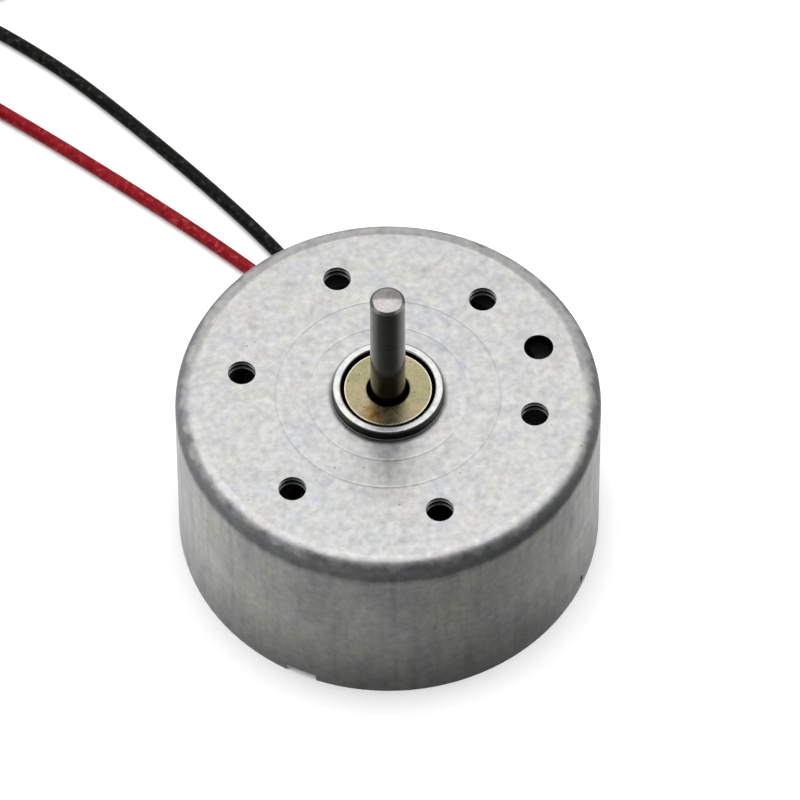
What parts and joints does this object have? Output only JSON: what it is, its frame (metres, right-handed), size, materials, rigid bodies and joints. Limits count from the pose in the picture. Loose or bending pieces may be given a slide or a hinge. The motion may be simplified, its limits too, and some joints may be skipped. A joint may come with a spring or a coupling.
{
  "type": "brushed dc motor",
  "caption": "Round flat brushed DC motor in a drawn steel can with a collared bearing, a plain shaft, tapped mounting holes in its face and two insulated leads.",
  "frame": {"origin": "centre of the can's open rim, on the plane that the motor stands on", "axes": "+Z along the shaft towards its free end, +Y towards the side where the leads leave the can, +X to the right when looking along +Y"},
  "size_m": [0.0474, 0.0598, 0.0219],
  "materials": {
    "zinc_plated_steel": "matte bright zinc plating on drawn steel",
    "sintered_bronze": "oil-darkened porous bronze",
    "bonded_ferrite": "dark grey rubber-bonded ferrite",
    "cover_plastic": "moulded off-white plastic",
    "thrust_plastic": "smooth low-friction plastic",
    "terminal_brass": "stamped brass",
    "brush_alloy": "rolled precious-metal alloy spring",
    "damper_rubber": "soft rubber",
    "solder": "satin solder",
    "tinned_copper": "tinned strands",
    "red_insulation": "satin red vinyl",
    "black_insulation": "satin black vinyl",
    "tie_plastic": "white plastic",
    "ground_steel": "ground and polished steel",
    "electrical_steel": "rolled electrical steel with stamped edges",
    "insulator_board": "green insulating board",
    "enamelled_copper": "enamelled copper wire",
    "commutator_resin": "brown moulding resin",
    "commutator_alloy": "polished commutator alloy",
    "varistor_ceramic": "dark ceramic with silvered pads",
    "washer_film": "amber film washer",
    "spacer_plastic": "white turned plastic"
  },
  "bodies": {
    "stator": {"housing": "zinc_plated_steel", "front_bearing": "sintered_bronze", "ring_magnet": "bonded_ferrite", "end_cover": "cover_plastic", "rear_bearing": "sintered_bronze", "thrust_plate": "thrust_plastic", "terminal_positive": "terminal_brass", "terminal_negative": "terminal_brass", "brush_positive": "brush_alloy", "brush_negative": "brush_alloy", "brush_dampers": "damper_rubber", "solder_joints": "solder", "lead_joint_ends": "tinned_copper", "red_lead": "red_insulation", "red_lead_coil": "red_insulation", "red_coil_tie": "tie_plastic", "red_lead_tip": "tinned_copper", "black_lead": "black_insulation", "black_lead_coil": "black_insulation", "black_coil_tie": "tie_plastic", "black_lead_tip": "tinned_copper"},
    "rotor": {"shaft": "ground_steel", "core_laminations": "electrical_steel", "rear_insulator": "insulator_board", "front_insulator": "insulator_board", "winding_1": "enamelled_copper", "winding_2": "enamelled_copper", "winding_3": "enamelled_copper", "commutator_hub": "commutator_resin", "commutator_segments": "commutator_alloy", "varistor_ring": "varistor_ceramic", "winding_joints": "solder", "rear_washer": "washer_film", "front_spacer": "spacer_plastic", "front_washers": "washer_film"}
  },
  "joints": [
    {"name": "rotor_spin", "type": "hinge", "parent": "stator", "child": "rotor", "pos_m": [0, 0, 0], "axis": [0, 0, 1], "continuous": true}
  ]
}
